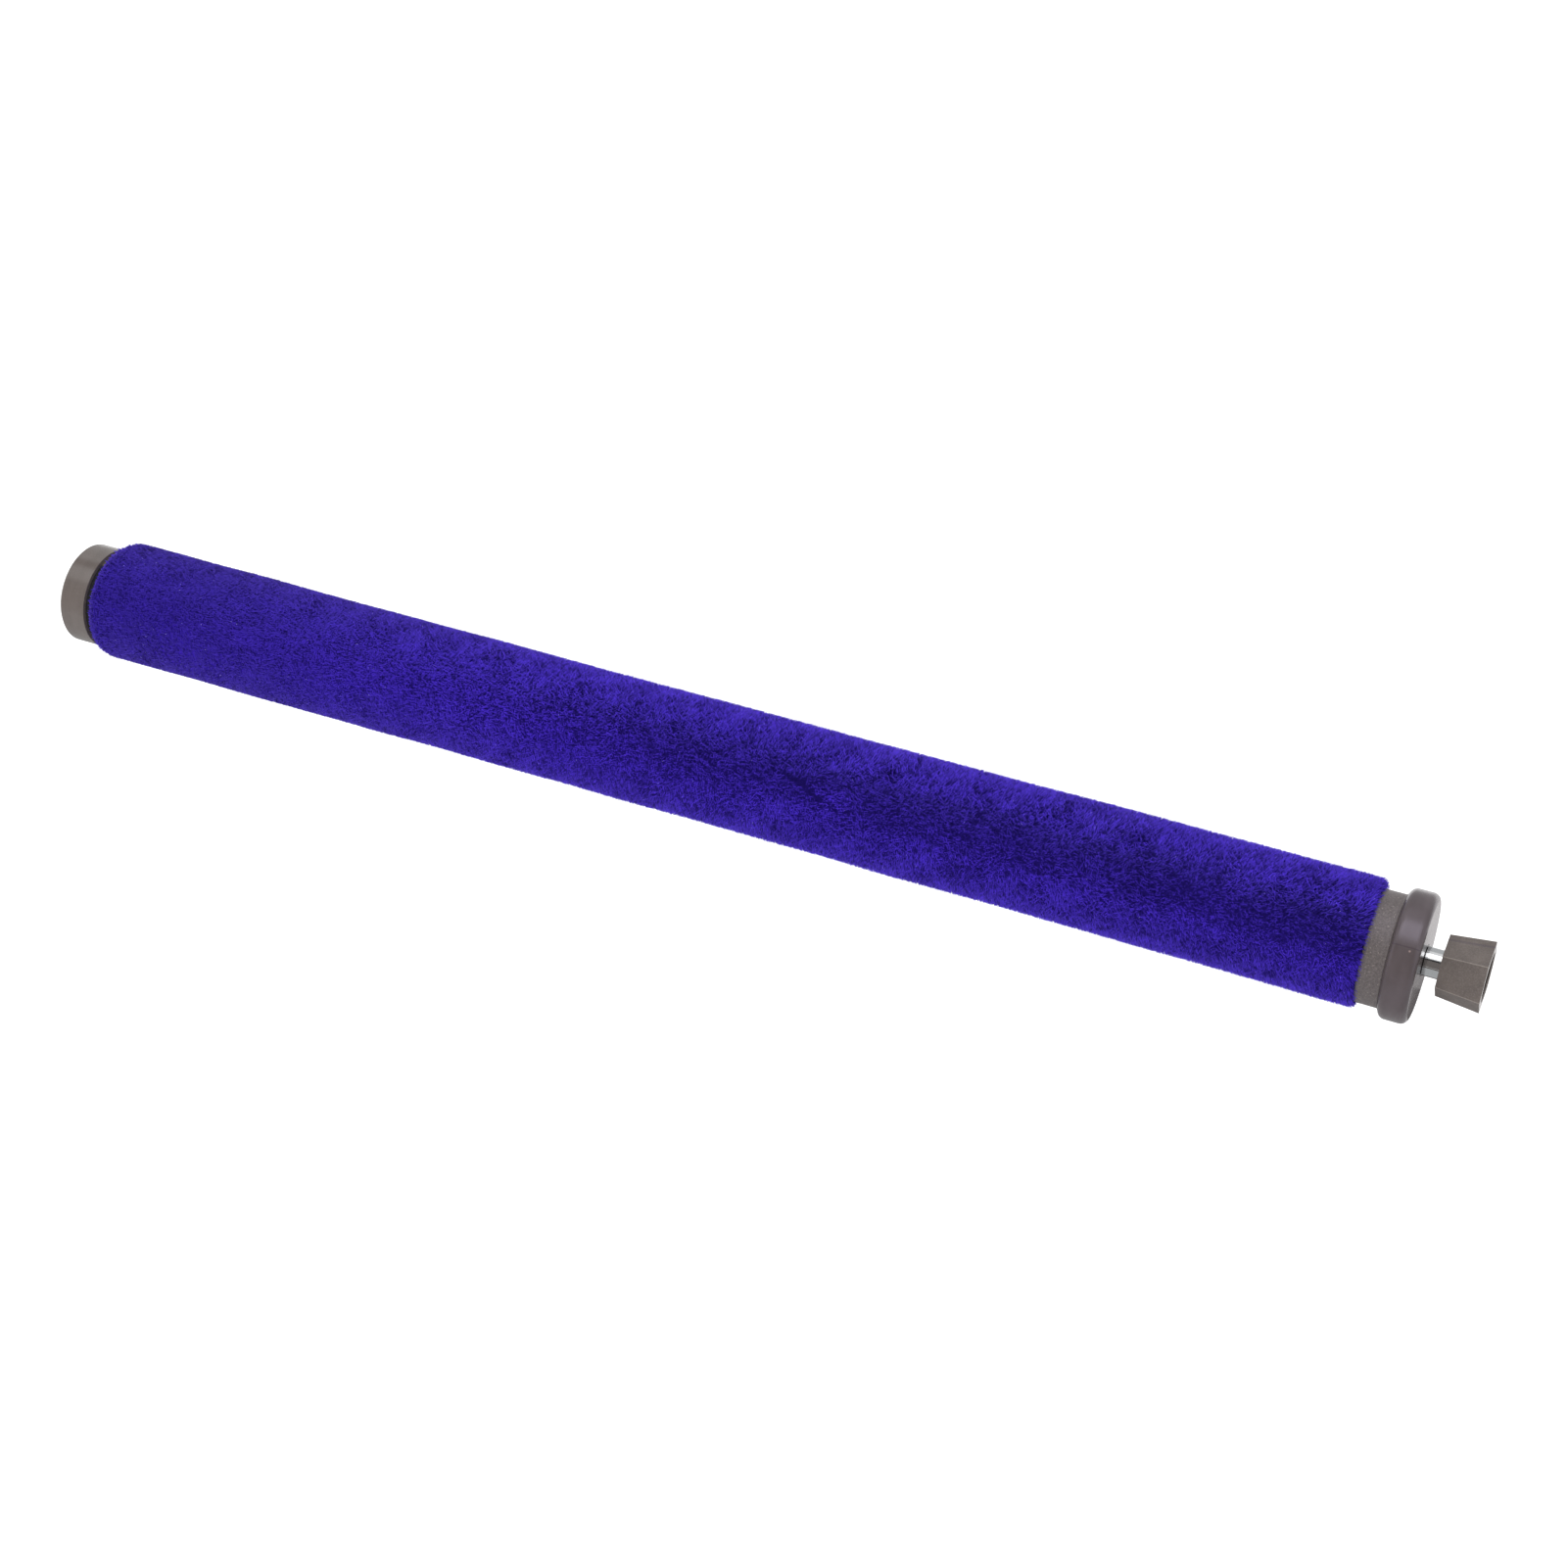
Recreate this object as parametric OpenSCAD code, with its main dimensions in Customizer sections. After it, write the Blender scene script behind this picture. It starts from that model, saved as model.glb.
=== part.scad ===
// Slim soft roller for the head of a vacuum cleaner, with a splined drive socket at one end
// and a hexagonal seat on a stub axle at the other. The roller lies along +X and its drive
// face is at the origin. Lengths are in millimetres.

/* [Roller] */
// Length from the drive face to the face of the end flange
roller_len = 238; // [200:1:300]
// Diameter over the tips of the pile
pile_d = 20.1; // [18.8:0.1:24]
// Length over which the pile rounds off beside the drive collar
pile_round_len = 4; // [3:0.5:10]
// Length over which the pile turns in beside the neck
pile_turn_len = 1; // [0.6:0.1:3]
// How far the tips stand in from the collar where the pile starts
pile_start_step = 0.1; // [0:0.05:0.4]
// Gap between the drive collar and the pile
pile_gap = 1.3; // [0.2:0.1:1.5]
// Outer diameter of the core tube
tube_d = 16; // [15.4:0.1:16.8]
// Wall of the core tube
tube_wall = 1.2; // [0.8:0.1:1.3]

/* [Drive end] */
// Diameter of the smooth collar at the drive end
collar_d = 17.4; // [17:0.1:18.4]
// Length of the collar that shows
collar_len = 5.1; // [4:0.1:9]
// Chamfer at the rim of the collar
collar_chamfer = 0.4; // [0.2:0.1:0.8]
// Length of the spigot inside the tube
drive_spigot_len = 15; // [12:0.5:24]
// Number of keys that turn the tube
key_count = 2; // [1:1:4]
// Width of a key
key_w = 3; // [2:0.1:4]
// Length of a key
key_len = 4; // [2:0.5:6]
// Outer diameter of the splined drive coupling
coupling_d = 11.4; // [11:0.1:11.6]
// Length of the drive coupling
coupling_len = 13; // [11.5:0.5:15]
// Depth of the coupling's face behind the drive face
coupling_recess = 0.6; // [0.2:0.1:1.5]
// Diameter at the roots of the socket's teeth
spline_root_d = 9.8; // [9.4:0.1:10]
// Diameter at the tips of the socket's teeth
spline_tip_d = 8; // [7.4:0.1:8.6]
// Number of teeth in the socket
spline_teeth = 8; // [5:1:9]
// Width of a tooth at its root
spline_tooth_w = 1.8; // [1.2:0.1:2.2]
// Chamfer that leads the drive dog into the socket
spline_lead = 0.8; // [0.4:0.1:1.2]
// Floor of the coupling, which holds the pilot bore
coupling_floor = 3.2; // [2:0.1:4]
// Diameter of the pilot bore in the coupling's floor
pilot_d = 5; // [3:0.1:6]

/* [Bearing end] */
// Diameter of the neck between the pile and the flange
neck_d = 17.4; // [17:0.1:18.4]
// Length of the neck that shows
neck_len = 3.6; // [2:0.1:8]
// Diameter of the end flange
flange_d = 20; // [19.6:0.1:24]
// Thickness of the end flange
flange_t = 4.5; // [3.6:0.1:7]
// Rounding of the flange's front rim
rim_front_r = 1.2; // [0.6:0.1:1.4]
// Rounding of the flange's back rim
rim_back_r = 1.15; // [0.4:0.1:1.4]
// Fillet between the neck and the flange
neck_fillet_r = 0.4; // [0.2:0.1:0.5]
// Wall of the end cap in front of the bearings
front_wall = 2; // [1.4:0.1:3]
// Gap round the axle where it passes through the front wall
lip_gap = 0.2; // [0.1:0.05:0.8]
// Length of the spigot behind the circlip groove
spigot_tail = 2; // [1:0.5:6]

/* [Spigots] */
// Clearance between a spigot and the bore of the tube
spigot_gap = 0.1; // [0.05:0.05:0.2]
// Number of crush ribs on a spigot
rib_count = 6; // [3:1:8]
// Radius of a crush rib
rib_r = 0.4; // [0.3:0.05:0.5]

/* [Bearings] */
// Bore of a bearing, and diameter of the axle's journal
bearing_bore = 4; // [3.6:0.1:4.2]
// Outer diameter of a bearing
bearing_d = 11; // [10.8:0.1:11.1]
// Width of a bearing
bearing_w = 4; // [3.8:0.1:5]
// Distance between the two bearings
bearing_spread = 8; // [4:0.5:14]
// Diameter of a ball
ball_d = 2; // [1.8:0.05:2.1]
// Number of balls in a bearing
ball_count = 7; // [5:1:8]
// Play between a ball and its groove
ball_play = 0.04; // [0.02:0.01:0.05]
// Thickness of a bearing shield
shield_t = 0.2; // [0.15:0.05:0.25]
// How far a shield lies below the face of its bearing
shield_sink = 0.15; // [0.1:0.05:0.25]
// Gap between a shield and the inner race
shield_gap = 0.15; // [0.1:0.05:0.2]
// Thickness of the circlip that holds the outer races
circlip_t = 0.8; // [0.6:0.1:1]
// Height of the wave washer that preloads the outer races
wave_h = 0.6; // [0.45:0.05:0.8]
// Thickness of the wave washer's strip
wave_t = 0.2; // [0.15:0.05:0.25]
// Thickness of the clip that holds the inner races
axle_clip_t = 0.6; // [0.4:0.1:0.8]
// Diameter of the clip that holds the inner races
axle_clip_d = 6.6; // [6.2:0.1:6.8]

/* [Axle] */
// Diameter of the axle where it shows
axle_d = 4.5; // [4.4:0.1:5.2]
// Length of the axle between the flange and the hexagon
axle_gap = 2.65; // [1.6:0.05:6]
// Distance from the flange to the turned groove
groove_from_flange = 0; // [0:0.05:1.2]
// Width of the turned groove
groove_w = 0.12; // [0.1:0.02:0.4]
// Depth of the turned groove
groove_depth = 0.25; // [0.1:0.05:0.4]
// Length of the axle behind the clip
axle_tail = 1.4; // [0.8:0.1:3]
// Distance across the two flats of the axle's seat in the hexagon
seat_flats_w = 3.6; // [3.2:0.1:4]

/* [Hexagonal end] */
// Length of the hexagonal end
hex_len = 6.65; // [5.5:0.05:12]
// Distance across corners at the end beside the flange
hex_inner_d = 9.65; // [9:0.05:10.4]
// Distance across corners at the outer end
hex_outer_d = 11.2; // [10.8:0.05:12]
// Turn of the hexagon about the axle
hex_turn = 5; // [0:1:59]
// Diameter of the round recess in its outer face
recess_d = 7.2; // [6:0.1:7.6]
// Depth of the round recess
recess_depth = 3.45; // [2:0.05:4]
// Rounding at the mouth of the recess
recess_chamfer = 0.25; // [0.1:0.05:0.4]

/* [Hidden] */
$fn = 96;
arc_steps = 8;
eps = 0.01;

// Places along the roller
flange_x = roller_len;
flange_back_x = flange_x - flange_t;
neck_x = flange_back_x - neck_len;
tube_x0 = collar_len;
pile_x0 = collar_len + pile_gap;
hex_x0 = flange_x + axle_gap;
hex_x1 = hex_x0 + hex_len;
recess_x = hex_x1 - recess_depth;
front_bearing_x1 = flange_x - front_wall;
front_bearing_x0 = front_bearing_x1 - bearing_w;
rear_bearing_x1 = front_bearing_x0 - bearing_spread;
rear_bearing_x0 = rear_bearing_x1 - bearing_w;
circlip_x1 = rear_bearing_x0 - wave_h;
circlip_x0 = circlip_x1 - circlip_t;
bearing_spigot_x0 = circlip_x0 - spigot_tail;
axle_clip_x0 = rear_bearing_x0 - axle_clip_t;
axle_x0 = axle_clip_x0 - axle_tail;
axle_x1 = recess_x;
coupling_x0 = coupling_recess;
coupling_x1 = coupling_x0 + coupling_len;
socket_x1 = coupling_x1 - coupling_floor;
drive_cap_x1 = max(collar_len + drive_spigot_len, coupling_x1 + 1.2);

// Radii
tube_r = tube_d / 2;
tube_bore_r = tube_r - tube_wall;
spigot_r = tube_bore_r - spigot_gap;
collar_r = collar_d / 2;
neck_r = neck_d / 2;
flange_r = flange_d / 2;
pile_r = pile_d / 2;
axle_r = axle_d / 2;
journal_r = bearing_bore / 2;
bearing_r = bearing_d / 2;
coupling_r = coupling_d / 2;

// Inside a bearing
pitch_r = (journal_r + bearing_r) / 2;
ball_r = ball_d / 2;
race_groove_r = ball_r + ball_play;
inner_shoulder_r = pitch_r - 0.7 * ball_r;
outer_shoulder_r = pitch_r + 0.7 * ball_r;
shield_seat_r = outer_shoulder_r + 0.3;
race_chamfer = 0.2;
cage_wall = 0.8 * ball_r;
cage_half_w = 1.3 * ball_r;
pocket_r = ball_r + 1.5 * ball_play;

// Spacers, clips and grooves
inner_spacer_r = journal_r + 0.75;
outer_spacer_wall = 0.8;
clip_groove_depth = 0.25;
clip_groove_gap = 0.04;
circlip_w = 0.95;
circlip_r = bearing_r + clip_groove_depth - clip_groove_gap;
circlip_opening = 44;
lug_r = 0.75;
lug_hole_r = 0.4;
axle_groove_r = 0.8 * journal_r;
clip_prong_w = 1.4;
clip_mouth_w = 2.6;
wave_count = 3;
wave_steps = 16;
wave_w = 0.9;

// Points [x, r] along an elliptical arc about [cx, cr], from angle a0 to a1
function arc_points(cx, cr, ax, ar, a0, a1) =
    [for (i = [0 : arc_steps]) let (a = a0 + (a1 - a0) * i / arc_steps)
        [cx + ax * cos(a), cr + ar * sin(a)]];

// A solid turned about the X axis from a profile of [x, r] points
module turned(profile)
    rotate([0, 90, 0]) rotate_extrude() polygon([for (p = profile) [p[1], p[0]]]);

// A cylinder about the X axis from x0 to x1
module rod(x0, x1, r)
    translate([x0, 0, 0]) rotate([0, 90, 0]) cylinder(h = x1 - x0, r = r);

// A cone about the X axis
module taper(x0, x1, r0, r1)
    translate([x0, 0, 0]) rotate([0, 90, 0]) cylinder(h = x1 - x0, r1 = r0, r2 = r1);

// A flat outline in the YZ plane, made thick from x0 to x1
module plate(x0, x1)
    translate([x0, 0, 0]) rotate([0, 90, 0]) linear_extrude(height = x1 - x0) children();

// Copies spread evenly about the X axis
module ring_of(count)
    for (i = [0 : count - 1]) rotate([360 * i / count, 0, 0]) children();

// The crush ribs that wedge a spigot into the tube
module crush_ribs(x0, x1)
    ring_of(rib_count)
        translate([0, 0, tube_bore_r - rib_r]) rod(x0, x1, rib_r, $fn = 24);

// The keys of the drive cap, or with a gap the notches that they lie in
module drive_keys(gap)
    ring_of(key_count)
        translate([tube_x0 - eps, -key_w / 2 - gap, 0])
            cube([key_len + eps + gap, key_w + 2 * gap, tube_r + gap]);

// The turned outline of the pile, round at the drive end and turned in at the neck
module pile_sleeve() color("#2d1f93")
    turned(concat(
        [[pile_x0, tube_r]],
        arc_points(pile_x0 + pile_round_len, collar_r - pile_start_step,
                   pile_round_len, pile_r - collar_r + pile_start_step, 180, 90),
        arc_points(neck_x - pile_turn_len, neck_r - pile_start_step,
                   pile_turn_len, pile_r - neck_r + pile_start_step, 90, 0),
        [[neck_x, tube_r]]));

module core_tube() color("#26262a")
    difference() {
        rod(tube_x0, neck_x, tube_r);
        rod(tube_x0 - 1, neck_x + 1, tube_bore_r);
        drive_keys(spigot_gap);
    }

module drive_end_cap() color("#857c76")
    difference() {
        union() {
            turned([[0, 0], [0, collar_r - collar_chamfer], [collar_chamfer, collar_r],
                    [collar_len, collar_r], [collar_len, spigot_r],
                    [drive_cap_x1 - 0.6, spigot_r], [drive_cap_x1, spigot_r - 0.6],
                    [drive_cap_x1, 0]]);
            crush_ribs(collar_len, drive_cap_x1 - 2);
            intersection() {
                drive_keys(0);
                rod(tube_x0 - eps, drive_cap_x1, tube_r - spigot_gap);
            }
        }
        rod(-1, coupling_x1, coupling_r);
        taper(-eps, collar_chamfer, coupling_r + collar_chamfer, coupling_r);
    }

// One tooth of the socket, wider at its root
module spline_tooth()
    polygon([[spline_tip_d / 2, -0.32 * spline_tooth_w], [spline_tip_d / 2, 0.32 * spline_tooth_w],
             [coupling_r - eps, spline_tooth_w / 2], [coupling_r - eps, -spline_tooth_w / 2]]);

module drive_coupling() color("#1d1d20")
    difference() {
        rod(coupling_x0, coupling_x1, coupling_r);
        difference() {
            rod(coupling_x0 - 1, socket_x1, spline_root_d / 2);
            ring_of(spline_teeth) plate(coupling_x0 - 1, socket_x1 + 1) spline_tooth();
        }
        taper(coupling_x0 - eps, coupling_x0 + spline_lead,
              spline_tip_d / 2 + spline_lead, spline_tip_d / 2);
        rod(coupling_x0, coupling_x1 + 1, pilot_d / 2);
    }

// Neck, flange and spigot in one moulding, bored from behind for the bearings
module bearing_end_cap() color("#6f6664")
    difference() {
        union() {
            turned(concat(
                [[bearing_spigot_x0, 0], [bearing_spigot_x0, spigot_r - 0.6],
                 [bearing_spigot_x0 + 0.6, spigot_r], [neck_x, spigot_r], [neck_x, neck_r]],
                arc_points(flange_back_x - neck_fillet_r, neck_r + neck_fillet_r,
                           neck_fillet_r, neck_fillet_r, -90, 0),
                arc_points(flange_back_x + rim_back_r, flange_r - rim_back_r,
                           rim_back_r, rim_back_r, 180, 90),
                arc_points(flange_x - rim_front_r, flange_r - rim_front_r,
                           rim_front_r, rim_front_r, 90, 0),
                [[flange_x, 0]]));
            crush_ribs(bearing_spigot_x0 + 2, neck_x);
        }
        rod(bearing_spigot_x0 - 1, front_bearing_x1, bearing_r);
        rod(bearing_spigot_x0, flange_x + 1, axle_r + lip_gap);
        rod(circlip_x0 - clip_groove_gap, circlip_x1 + clip_groove_gap,
            bearing_r + clip_groove_depth);
    }

module outer_race(x0) color("silver")
    translate([x0 + bearing_w / 2, 0, 0]) difference() {
        turned([[-bearing_w / 2, shield_seat_r], [-bearing_w / 2, bearing_r - race_chamfer],
                [race_chamfer - bearing_w / 2, bearing_r],
                [bearing_w / 2 - race_chamfer, bearing_r],
                [bearing_w / 2, bearing_r - race_chamfer], [bearing_w / 2, shield_seat_r],
                [bearing_w / 2 - shield_sink - shield_t, shield_seat_r],
                [bearing_w / 2 - shield_sink - shield_t, outer_shoulder_r],
                [shield_sink + shield_t - bearing_w / 2, outer_shoulder_r],
                [shield_sink + shield_t - bearing_w / 2, shield_seat_r]]);
        ball_track();
    }

module inner_race(x0) color("silver")
    translate([x0 + bearing_w / 2, 0, 0]) difference() {
        turned([[-bearing_w / 2, journal_r], [-bearing_w / 2, inner_shoulder_r - race_chamfer],
                [race_chamfer - bearing_w / 2, inner_shoulder_r],
                [bearing_w / 2 - race_chamfer, inner_shoulder_r],
                [bearing_w / 2, inner_shoulder_r - race_chamfer], [bearing_w / 2, journal_r]]);
        ball_track();
    }

// The ring that both races are cut by, a little larger than the balls
module ball_track()
    rotate([0, 90, 0]) rotate_extrude() translate([pitch_r, 0]) circle(r = race_groove_r);

module balls(x0) color("gainsboro")
    translate([x0 + bearing_w / 2, 0, 0])
        ring_of(ball_count) translate([0, 0, pitch_r]) sphere(r = ball_r, $fn = 48);

module cage(x0) color("#b79a5c")
    translate([x0 + bearing_w / 2, 0, 0]) difference() {
        rod(-cage_half_w, cage_half_w, pitch_r + cage_wall / 2);
        rod(-cage_half_w - 1, cage_half_w + 1, pitch_r - cage_wall / 2);
        ring_of(ball_count) translate([0, 0, pitch_r]) sphere(r = pocket_r, $fn = 48);
    }

// Two thin discs that close a bearing from both sides
module shields(x0) color("lightgray")
    for (x = [x0 + shield_sink, x0 + bearing_w - shield_sink - shield_t])
        difference() {
            rod(x, x + shield_t, shield_seat_r);
            rod(x - 1, x + 1, inner_shoulder_r + shield_gap);
        }

module outer_race_spacer() color("darkgray")
    difference() {
        rod(rear_bearing_x1, front_bearing_x0, bearing_r);
        rod(rear_bearing_x1 - 1, front_bearing_x0 + 1, bearing_r - outer_spacer_wall);
    }

module inner_race_spacer() color("darkgray")
    difference() {
        rod(rear_bearing_x1, front_bearing_x0, inner_spacer_r);
        rod(rear_bearing_x1 - 1, front_bearing_x0 + 1, journal_r);
    }

// One strip of spring steel, bent into even waves round the bore
function wave_x(i) = (wave_h - wave_t) / 2 * (1 + sin(360 * i / wave_steps));

module wave_washer() color("gray")
    let (n = wave_count * wave_steps, r1 = bearing_r - 0.1, r0 = r1 - wave_w) {
        corners = [[0, r0], [0, r1], [wave_t, r1], [wave_t, r0]];
        polyhedron(
            [for (i = [0 : n - 1], c = corners)
                [circlip_x1 + wave_x(i) + c[0], c[1] * cos(360 * i / n), c[1] * sin(360 * i / n)]],
            [for (i = [0 : n - 1], k = [0 : 3]) let (j = (i + 1) % n, m = (k + 1) % 4)
                for (f = [[4 * i + k, 4 * i + m, 4 * j + m], [4 * i + k, 4 * j + m, 4 * j + k]]) f]);
    }

// A ring with an opening and two eyes for the pliers
module bearing_circlip() color("#3a3a3c")
    plate(circlip_x0, circlip_x1) difference() {
        union() {
            difference() {
                circle(r = circlip_r);
                circle(r = circlip_r - circlip_w);
                polygon([[0, 0], [2 * circlip_r, -2 * circlip_r * tan(circlip_opening / 2)],
                         [2 * circlip_r, 2 * circlip_r * tan(circlip_opening / 2)]]);
            }
            for (s = [-1, 1]) rotate(s * circlip_opening / 2)
                translate([circlip_r - circlip_w, 0]) circle(r = lug_r, $fn = 32);
        }
        for (s = [-1, 1]) rotate(s * circlip_opening / 2)
            translate([circlip_r - circlip_w, 0]) circle(r = lug_hole_r, $fn = 32);
    }

// Journal, clip groove, turned groove and flats of the stub axle
module axle_shaft() color("whitesmoke")
    difference() {
        union() {
            turned([[axle_x0, 0], [axle_x0, journal_r - 0.3], [axle_x0 + 0.3, journal_r],
                    [axle_clip_x0 - clip_groove_gap, journal_r],
                    [axle_clip_x0 - clip_groove_gap, axle_groove_r],
                    [rear_bearing_x0, axle_groove_r], [rear_bearing_x0, journal_r],
                    [front_bearing_x1, journal_r], [front_bearing_x1, axle_r],
                    [flange_x + groove_from_flange, axle_r],
                    [flange_x + groove_from_flange, axle_r - groove_depth],
                    [flange_x + groove_from_flange + groove_w, axle_r - groove_depth],
                    [flange_x + groove_from_flange + groove_w, axle_r],
                    [axle_x1 - 0.3, axle_r], [axle_x1, axle_r - 0.3], [axle_x1, 0]]);
        }
        axle_flats(0);
    }

// What is milled off the axle's end for its two flats
module axle_flats(gap)
    for (s = [0, 180]) rotate([hex_turn + s, 0, 0])
        translate([hex_x0 + gap, -axle_d, seat_flats_w / 2 + gap])
            cube([axle_x1 - hex_x0 + 1, 2 * axle_d, axle_d]);

// A washer open at one side, with three prongs that grip the axle's groove
module axle_clip() color("#3a3a3c")
    plate(axle_clip_x0, rear_bearing_x0) difference() {
        union() {
            difference() {
                circle(r = axle_clip_d / 2);
                circle(r = journal_r + 0.2);
            }
            for (a = [90, 180, 270]) rotate(a)
                translate([axle_groove_r, -clip_prong_w / 2])
                    square([journal_r + 0.5 - axle_groove_r, clip_prong_w]);
        }
        circle(r = axle_groove_r);
        translate([0, -clip_mouth_w / 2]) square([axle_clip_d, clip_mouth_w]);
    }

// A tapered hexagon, wider at its outer end, with a round recess
module hex_end() color("#7b726c")
    difference() {
        translate([hex_x0, 0, 0]) rotate([hex_turn, 0, 0]) rotate([0, 90, 0]) rotate(90)
            cylinder(h = hex_len, d1 = hex_inner_d, d2 = hex_outer_d, $fn = 6);
        rod(recess_x, hex_x1 + 1, recess_d / 2);
        taper(hex_x1 - recess_chamfer, hex_x1 + eps, recess_d / 2, recess_d / 2 + recess_chamfer);
        difference() {
            rod(hex_x0 - 1, recess_x + 1, axle_r);
            axle_flats(0);
        }
    }

pile_sleeve();
core_tube();
drive_end_cap();
drive_coupling();
bearing_end_cap();
outer_race(front_bearing_x0);  // front_bearing_outer_race
inner_race(front_bearing_x0);  // front_bearing_inner_race
balls(front_bearing_x0);  // front_bearing_balls
cage(front_bearing_x0);  // front_bearing_cage
shields(front_bearing_x0);  // front_bearing_shields
outer_race(rear_bearing_x0);  // rear_bearing_outer_race
inner_race(rear_bearing_x0);  // rear_bearing_inner_race
balls(rear_bearing_x0);  // rear_bearing_balls
cage(rear_bearing_x0);  // rear_bearing_cage
shields(rear_bearing_x0);  // rear_bearing_shields
outer_race_spacer();
inner_race_spacer();
wave_washer();
bearing_circlip();
axle_shaft();
axle_clip();
hex_end();
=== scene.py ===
"""Looks of a slim soft roller: plush pile, taupe mouldings, polished stub axle and hexagonal end.

Lengths in the scene are metres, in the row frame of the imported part. MM turns millimetres into them.
"""
import math

import bpy
import numpy as np
from mathutils import Euler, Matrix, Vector

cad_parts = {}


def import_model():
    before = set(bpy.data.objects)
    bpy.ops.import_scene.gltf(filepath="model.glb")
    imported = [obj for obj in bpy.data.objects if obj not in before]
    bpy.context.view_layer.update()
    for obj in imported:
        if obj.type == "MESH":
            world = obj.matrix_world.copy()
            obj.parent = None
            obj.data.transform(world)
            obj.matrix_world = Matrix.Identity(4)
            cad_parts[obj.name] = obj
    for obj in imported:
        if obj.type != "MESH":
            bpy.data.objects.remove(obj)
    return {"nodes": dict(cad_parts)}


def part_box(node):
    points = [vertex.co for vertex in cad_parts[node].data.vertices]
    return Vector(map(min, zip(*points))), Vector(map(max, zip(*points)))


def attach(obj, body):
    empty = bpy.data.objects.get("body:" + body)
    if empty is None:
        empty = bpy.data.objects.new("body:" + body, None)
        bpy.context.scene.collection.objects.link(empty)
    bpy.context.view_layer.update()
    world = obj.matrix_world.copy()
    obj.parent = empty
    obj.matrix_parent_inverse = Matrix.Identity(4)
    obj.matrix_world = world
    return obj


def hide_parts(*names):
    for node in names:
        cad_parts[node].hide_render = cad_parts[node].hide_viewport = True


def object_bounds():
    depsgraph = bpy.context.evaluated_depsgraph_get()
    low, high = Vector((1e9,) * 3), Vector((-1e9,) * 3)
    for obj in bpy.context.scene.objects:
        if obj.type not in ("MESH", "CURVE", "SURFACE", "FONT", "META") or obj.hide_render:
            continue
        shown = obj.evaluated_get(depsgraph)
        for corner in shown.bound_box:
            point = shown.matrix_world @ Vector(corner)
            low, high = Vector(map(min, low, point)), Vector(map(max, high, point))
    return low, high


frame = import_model()
cad_low, cad_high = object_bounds()

MM = 0.001
SEED = 7

# Camera, fitted to the photograph
IMAGE_PIXELS = 1601
FOCAL_PIXELS = 2600
SENSOR_WIDTH = 36.0
CAMERA_AZIMUTH = 24.35
CAMERA_ELEVATION = 37.64
CAMERA_FROM_FLANGE = Vector((29.84, -293.82, 248.58)) * MM

# Places taken from the frame
SLEEVE_LOW, SLEEVE_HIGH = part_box("pile_sleeve")
CAP_LOW, CAP_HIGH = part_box("bearing_end_cap")
COLLAR_LOW, COLLAR_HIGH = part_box("drive_end_cap")
HEX_LOW, HEX_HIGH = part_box("hex_end")
TUBE_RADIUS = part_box("core_tube")[1].z
PILE_RADIUS = SLEEVE_HIGH.z
COLLAR_RADIUS = COLLAR_HIGH.z
FLANGE_FACE = CAP_HIGH.x
FLANGE_BACK = FLANGE_FACE - 4.5 * MM
RECESS_RADIUS = 3.6 * MM
AXLE_RADIUS = 2.25 * MM
# angle of the painted dark line where the flange's reflection ends
REFLECTION_EDGE_ANGLE = math.radians(133)
# angle of the painted dark reflection band on the hex
REFLECTION_BAND_ANGLE = math.radians(78)
GATE_ANGLE = math.radians(136)
# angle of the painted shade band on the plush
SHADE_BAND_ANGLE = math.radians(135)
CORNER_ANGLES = [math.radians(a) for a in (5, 65, 125)]
GATE_MARK = (FLANGE_FACE - 1.55 * MM, CAP_HIGH.z * math.cos(GATE_ANGLE), CAP_HIGH.z * math.sin(GATE_ANGLE))

# Pile
PILE_ROUND_LENGTH = 2.4 * MM
PILE_TURN_LENGTH = 1.0 * MM
PILE_START_STEP = 0.1 * MM
PILE_LIFT = 0.3 * MM
PILE_LIFT_ANGLE = math.radians(50)
END_SWELL = 0.30 * MM
END_SWELL_LENGTH = 110 * MM
MAT_DEPTH = 0.80 * MM
MAT_RISE = 0.20 * MM
TUFT_SPACING = 0.245 * MM
CLUMP_SIZE = 0.40 * MM
CREASE_ALONG = (138.0 * MM, 140.7 * MM, 145.0 * MM)
CREASE_ANGLES = (130, 134, 148)
TUFT_JITTER = 0.34
TUFT_WIDTH = 0.32 * MM
TUFT_FLATTEN = 0.32
TUFT_PIECES = 5
NAP_SHARE = (0.95, 0.80)


def deselect_all():
    for thing in bpy.context.selected_objects:
        thing.select_set(False)


class Number:
    """A number in a material, so that shader maths reads as arithmetic."""

    def __init__(self, finish, socket):
        self.finish = finish
        self.socket = socket

    def maths(self, operation, first, second):
        node = self.finish.add("ShaderNodeMath", {"operation": operation}, {0: first, 1: second})
        return Number(self.finish, node.outputs[0])

    def __add__(self, other):
        return self.maths("ADD", self, other)

    def __radd__(self, other):
        return self.maths("ADD", other, self)

    def __sub__(self, other):
        return self.maths("SUBTRACT", self, other)

    def __rsub__(self, other):
        return self.maths("SUBTRACT", other, self)

    def __mul__(self, other):
        return self.maths("MULTIPLY", self, other)

    def __rmul__(self, other):
        return self.maths("MULTIPLY", other, self)

    def __truediv__(self, other):
        return self.maths("DIVIDE", self, other)

    def __pow__(self, other):
        return self.maths("POWER", self, other)

    def above(self, edge, softness):
        """0 below the edge, 1 above it, with a soft step between."""
        node = self.finish.add(
            "ShaderNodeMapRange",
            {"interpolation_type": "SMOOTHSTEP"},
            {"Value": self, "From Min": edge - softness, "From Max": edge + softness},
        )
        return Number(self.finish, node.outputs["Result"])


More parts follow.
